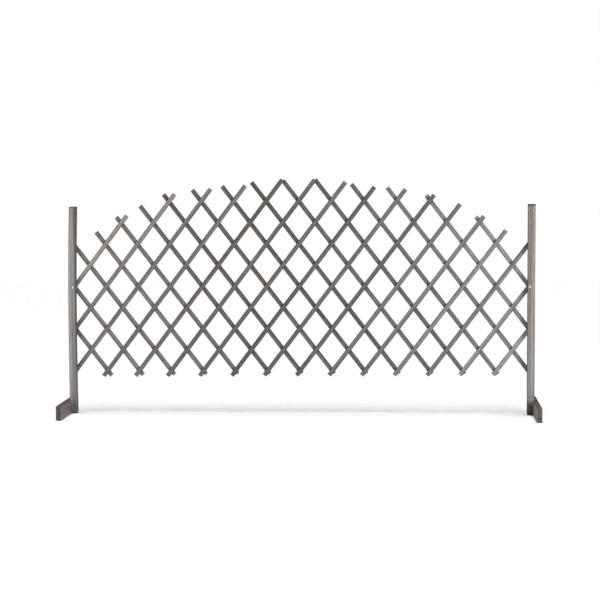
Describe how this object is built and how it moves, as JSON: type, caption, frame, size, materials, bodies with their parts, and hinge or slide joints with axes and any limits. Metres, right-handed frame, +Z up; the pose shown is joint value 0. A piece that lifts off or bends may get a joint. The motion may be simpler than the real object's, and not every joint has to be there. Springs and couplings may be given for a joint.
{
  "type": "expanding trellis panel",
  "caption": "Free-standing expanding trellis panel: a riveted scissor lattice of stained wooden slats with an arched top between two square posts on foot boards.",
  "frame": {"origin": "on the floor, midway between the two feet", "axes": "+Z up, +X along the panel from the left post to the right post, -Y towards the viewer of the face that shows the posts"},
  "size_m": [1.83, 0.304, 0.9108],
  "materials": {
    "slat_wood": "grey-brown stained fir, matt",
    "post_wood": "grey-brown stained fir, planed, matt",
    "foot_wood": "darker grey-brown stained fir, matt",
    "rivet_steel": "stained over with the slats, dull",
    "zinc_steel": "zinc-plated, satin"
  },
  "bodies": {
    "left_post": {"left_post": "post_wood", "left_foot": "foot_wood", "left_foot_screws": "zinc_steel", "left_pivot_bolt": "zinc_steel", "left_pivot_washers": "zinc_steel", "left_pivot_nut": "zinc_steel"},
    "front_slat_01": {"front_slat_01": "slat_wood", "rivets_01": "rivet_steel"},
    "front_slat_02": {"front_slat_02": "slat_wood", "rivets_02": "rivet_steel"},
    "front_slat_03": {"front_slat_03": "slat_wood", "rivets_03": "rivet_steel"},
    "front_slat_04": {"front_slat_04": "slat_wood", "rivets_04": "rivet_steel"},
    "front_slat_05": {"front_slat_05": "slat_wood", "rivets_05": "rivet_steel"},
    "front_slat_06": {"front_slat_06": "slat_wood", "rivets_06": "rivet_steel"},
    "front_slat_07": {"front_slat_07": "slat_wood", "rivets_07": "rivet_steel"},
    "front_slat_08": {"front_slat_08": "slat_wood", "rivets_08": "rivet_steel"},
    "front_slat_09": {"front_slat_09": "slat_wood", "rivets_09": "rivet_steel"},
    "front_slat_10": {"front_slat_10": "slat_wood", "rivets_10": "rivet_steel"},
    "front_slat_11": {"front_slat_11": "slat_wood", "rivets_11": "rivet_steel"},
    "front_slat_12": {"front_slat_12": "slat_wood", "rivets_12": "rivet_steel"},
    "front_slat_13": {"front_slat_13": "slat_wood", "rivets_13": "rivet_steel"},
    "front_slat_14": {"front_slat_14": "slat_wood", "rivets_14": "rivet_steel"},
    "front_slat_15": {"front_slat_15": "slat_wood", "rivets_15": "rivet_steel"},
    "front_slat_16": {"front_slat_16": "slat_wood", "rivets_16": "rivet_steel"},
    "back_slat_01": {"back_slat_01": "slat_wood"},
    "back_slat_02": {"back_slat_02": "slat_wood"},
    "back_slat_03": {"back_slat_03": "slat_wood"},
    "back_slat_04": {"back_slat_04": "slat_wood"},
    "back_slat_05": {"back_slat_05": "slat_wood"},
    "back_slat_06": {"back_slat_06": "slat_wood"},
    "back_slat_07": {"back_slat_07": "slat_wood"},
    "back_slat_08": {"back_slat_08": "slat_wood"},
    "back_slat_09": {"back_slat_09": "slat_wood"},
    "back_slat_10": {"back_slat_10": "slat_wood"},
    "back_slat_11": {"back_slat_11": "slat_wood"},
    "back_slat_12": {"back_slat_12": "slat_wood"},
    "back_slat_13": {"back_slat_13": "slat_wood"},
    "back_slat_14": {"back_slat_14": "slat_wood"},
    "back_slat_15": {"back_slat_15": "slat_wood"},
    "back_slat_16": {"back_slat_16": "slat_wood"},
    "right_post": {"right_post": "post_wood", "right_foot": "foot_wood", "right_foot_screws": "zinc_steel", "right_pivot_bolt": "zinc_steel", "right_pivot_washers": "zinc_steel", "right_pivot_nut": "zinc_steel"}
  },
  "joints": [
    {"name": "lattice_fold", "type": "hinge", "parent": "left_post", "child": "back_slat_02", "pos_m": [-0.88, 0.05575, 0.494], "axis": [0, 1, 0], "range_deg": [0, 32]},
    {"name": "front_slat_01_pivot", "type": "hinge", "parent": "left_post", "child": "front_slat_01", "pos_m": [-0.88, 0.05575, 0.494], "axis": [0, 1, 0], "range_deg": [-32, 0]},
    {"name": "front_slat_02_pivot", "type": "hinge", "parent": "back_slat_02", "child": "front_slat_02", "pos_m": [-0.81714, 0.05575, 0.41177], "axis": [0, 1, 0], "range_deg": [-64, 0]},
    {"name": "front_slat_03_pivot", "type": "hinge", "parent": "back_slat_02", "child": "front_slat_03", "pos_m": [-0.75429, 0.05575, 0.32955], "axis": [0, 1, 0], "range_deg": [-64, 0]},
    {"name": "front_slat_04_pivot", "type": "hinge", "parent": "back_slat_02", "child": "front_slat_04", "pos_m": [-0.69143, 0.05575, 0.24732], "axis": [0, 1, 0], "range_deg": [-64, 0]},
    {"name": "front_slat_05_pivot", "type": "hinge", "parent": "back_slat_02", "child": "front_slat_05", "pos_m": [-0.62857, 0.05575, 0.16509], "axis": [0, 1, 0], "range_deg": [-64, 0]},
    {"name": "back_slat_01_pivot", "type": "hinge", "parent": "front_slat_03", "child": "back_slat_01", "pos_m": [-0.81714, 0.05575, 0.24732], "axis": [0, 1, 0], "range_deg": [0, 64]},
    {"name": "back_slat_03_pivot", "type": "hinge", "parent": "front_slat_05", "child": "back_slat_03", "pos_m": [-0.56571, 0.05575, 0.24732], "axis": [0, 1, 0], "range_deg": [0, 64]},
    {"name": "back_slat_04_pivot", "type": "hinge", "parent": "front_slat_05", "child": "back_slat_04", "pos_m": [-0.50286, 0.05575, 0.32955], "axis": [0, 1, 0], "range_deg": [0, 64]},
    {"name": "back_slat_05_pivot", "type": "hinge", "parent": "front_slat_05", "child": "back_slat_05", "pos_m": [-0.44, 0.05575, 0.41177], "axis": [0, 1, 0], "range_deg": [0, 64]},
    {"name": "back_slat_06_pivot", "type": "hinge", "parent": "front_slat_05", "child": "back_slat_06", "pos_m": [-0.37714, 0.05575, 0.494], "axis": [0, 1, 0], "range_deg": [0, 64]},
    {"name": "back_slat_07_pivot", "type": "hinge", "parent": "front_slat_05", "child": "back_slat_07", "pos_m": [-0.31429, 0.05575, 0.57623], "axis": [0, 1, 0], "range_deg": [0, 64]},
    {"name": "back_slat_08_pivot", "type": "hinge", "parent": "front_slat_05", "child": "back_slat_08", "pos_m": [-0.25143, 0.05575, 0.65845], "axis": [0, 1, 0], "range_deg": [0, 64]},
    {"name": "back_slat_09_pivot", "type": "hinge", "parent": "front_slat_05", "child": "back_slat_09", "pos_m": [-0.18857, 0.05575, 0.74068], "axis": [0, 1, 0], "range_deg": [0, 64]},
    {"name": "back_slat_10_pivot", "type": "hinge", "parent": "front_slat_05", "child": "back_slat_10", "pos_m": [-0.12571, 0.05575, 0.82291], "axis": [0, 1, 0], "range_deg": [0, 64]},
    {"name": "front_slat_06_pivot", "type": "hinge", "parent": "back_slat_10", "child": "front_slat_06", "pos_m": [-0.06286, 0.05575, 0.74068], "axis": [0, 1, 0], "range_deg": [-64, 0]},
    {"name": "front_slat_07_pivot", "type": "hinge", "parent": "back_slat_10", "child": "front_slat_07", "pos_m": [0, 0.05575, 0.65845], "axis": [0, 1, 0], "range_deg": [-64, 0]},
    {"name": "front_slat_08_pivot", "type": "hinge", "parent": "back_slat_10", "child": "front_slat_08", "pos_m": [0.06286, 0.05575, 0.57623], "axis": [0, 1, 0], "range_deg": [-64, 0]},
    {"name": "front_slat_09_pivot", "type": "hinge", "parent": "back_slat_10", "child": "front_slat_09", "pos_m": [0.12571, 0.05575, 0.494], "axis": [0, 1, 0], "range_deg": [-64, 0]},
    {"name": "front_slat_10_pivot", "type": "hinge", "parent": "back_slat_10", "child": "front_slat_10", "pos_m": [0.18857, 0.05575, 0.41177], "axis": [0, 1, 0], "range_deg": [-64, 0]},
    {"name": "front_slat_11_pivot", "type": "hinge", "parent": "back_slat_10", "child": "front_slat_11", "pos_m": [0.25143, 0.05575, 0.32955], "axis": [0, 1, 0], "range_deg": [-64, 0]},
    {"name": "front_slat_12_pivot", "type": "hinge", "parent": "back_slat_10", "child": "front_slat_12", "pos_m": [0.31429, 0.05575, 0.24732], "axis": [0, 1, 0], "range_deg": [-64, 0]},
    {"name": "front_slat_13_pivot", "type": "hinge", "parent": "back_slat_10", "child": "front_slat_13", "pos_m": [0.37714, 0.05575, 0.16509], "axis": [0, 1, 0], "range_deg": [-64, 0]},
    {"name": "back_slat_11_pivot", "type": "hinge", "parent": "front_slat_13", "child": "back_slat_11", "pos_m": [0.44, 0.05575, 0.24732], "axis": [0, 1, 0], "range_deg": [0, 64]},
    {"name": "back_slat_12_pivot", "type": "hinge", "parent": "front_slat_13", "child": "back_slat_12", "pos_m": [0.50286, 0.05575, 0.32955], "axis": [0, 1, 0], "range_deg": [0, 64]},
    {"name": "back_slat_13_pivot", "type": "hinge", "parent": "front_slat_13", "child": "back_slat_13", "pos_m": [0.56571, 0.05575, 0.41177], "axis": [0, 1, 0], "range_deg": [0, 64]},
    {"name": "back_slat_14_pivot", "type": "hinge", "parent": "front_slat_13", "child": "back_slat_14", "pos_m": [0.62857, 0.05575, 0.494], "axis": [0, 1, 0], "range_deg": [0, 64]},
    {"name": "back_slat_15_pivot", "type": "hinge", "parent": "front_slat_13", "child": "back_slat_15", "pos_m": [0.69143, 0.05575, 0.57623], "axis": [0, 1, 0], "range_deg": [0, 64]},
    {"name": "back_slat_16_pivot", "type": "hinge", "parent": "front_slat_13", "child": "back_slat_16", "pos_m": [0.75429, 0.05575, 0.65845], "axis": [0, 1, 0], "range_deg": [0, 64]},
    {"name": "front_slat_14_pivot", "type": "hinge", "parent": "back_slat_16", "child": "front_slat_14", "pos_m": [0.81714, 0.05575, 0.57623], "axis": [0, 1, 0], "range_deg": [-64, 0]},
    {"name": "front_slat_16_pivot", "type": "hinge", "parent": "back_slat_15", "child": "front_slat_16", "pos_m": [0.88, 0.05575, 0.32955], "axis": [0, 1, 0], "range_deg": [-64, 0]},
    {"name": "right_post_pivot", "type": "hinge", "parent": "back_slat_16", "child": "right_post", "pos_m": [0.88, 0.05575, 0.494], "axis": [0, 1, 0], "range_deg": [-32, 0]},
    {"name": "front_slat_15_pivot", "type": "hinge", "parent": "right_post", "child": "front_slat_15", "pos_m": [0.88, 0.05575, 0.494], "axis": [0, 1, 0], "range_deg": [-32, 0]}
  ],
  "couplings": [
    {"joint": "front_slat_01_pivot", "follows": "lattice_fold", "ratio": -1},
    {"joint": "front_slat_02_pivot", "follows": "lattice_fold", "ratio": -2},
    {"joint": "front_slat_03_pivot", "follows": "lattice_fold", "ratio": -2},
    {"joint": "front_slat_04_pivot", "follows": "lattice_fold", "ratio": -2},
    {"joint": "front_slat_05_pivot", "follows": "lattice_fold", "ratio": -2},
    {"joint": "back_slat_01_pivot", "follows": "lattice_fold", "ratio": 2},
    {"joint": "back_slat_03_pivot", "follows": "lattice_fold", "ratio": 2},
    {"joint": "back_slat_04_pivot", "follows": "lattice_fold", "ratio": 2},
    {"joint": "back_slat_05_pivot", "follows": "lattice_fold", "ratio": 2},
    {"joint": "back_slat_06_pivot", "follows": "lattice_fold", "ratio": 2},
    {"joint": "back_slat_07_pivot", "follows": "lattice_fold", "ratio": 2},
    {"joint": "back_slat_08_pivot", "follows": "lattice_fold", "ratio": 2},
    {"joint": "back_slat_09_pivot", "follows": "lattice_fold", "ratio": 2},
    {"joint": "back_slat_10_pivot", "follows": "lattice_fold", "ratio": 2},
    {"joint": "front_slat_06_pivot", "follows": "lattice_fold", "ratio": -2},
    {"joint": "front_slat_07_pivot", "follows": "lattice_fold", "ratio": -2},
    {"joint": "front_slat_08_pivot", "follows": "lattice_fold", "ratio": -2},
    {"joint": "front_slat_09_pivot", "follows": "lattice_fold", "ratio": -2},
    {"joint": "front_slat_10_pivot", "follows": "lattice_fold", "ratio": -2},
    {"joint": "front_slat_11_pivot", "follows": "lattice_fold", "ratio": -2},
    {"joint": "front_slat_12_pivot", "follows": "lattice_fold", "ratio": -2},
    {"joint": "front_slat_13_pivot", "follows": "lattice_fold", "ratio": -2},
    {"joint": "back_slat_11_pivot", "follows": "lattice_fold", "ratio": 2},
    {"joint": "back_slat_12_pivot", "follows": "lattice_fold", "ratio": 2},
    {"joint": "back_slat_13_pivot", "follows": "lattice_fold", "ratio": 2},
    {"joint": "back_slat_14_pivot", "follows": "lattice_fold", "ratio": 2},
    {"joint": "back_slat_15_pivot", "follows": "lattice_fold", "ratio": 2},
    {"joint": "back_slat_16_pivot", "follows": "lattice_fold", "ratio": 2},
    {"joint": "front_slat_14_pivot", "follows": "lattice_fold", "ratio": -2},
    {"joint": "front_slat_16_pivot", "follows": "lattice_fold", "ratio": -2},
    {"joint": "right_post_pivot", "follows": "lattice_fold", "ratio": -1},
    {"joint": "front_slat_15_pivot", "follows": "lattice_fold", "ratio": -1}
  ]
}
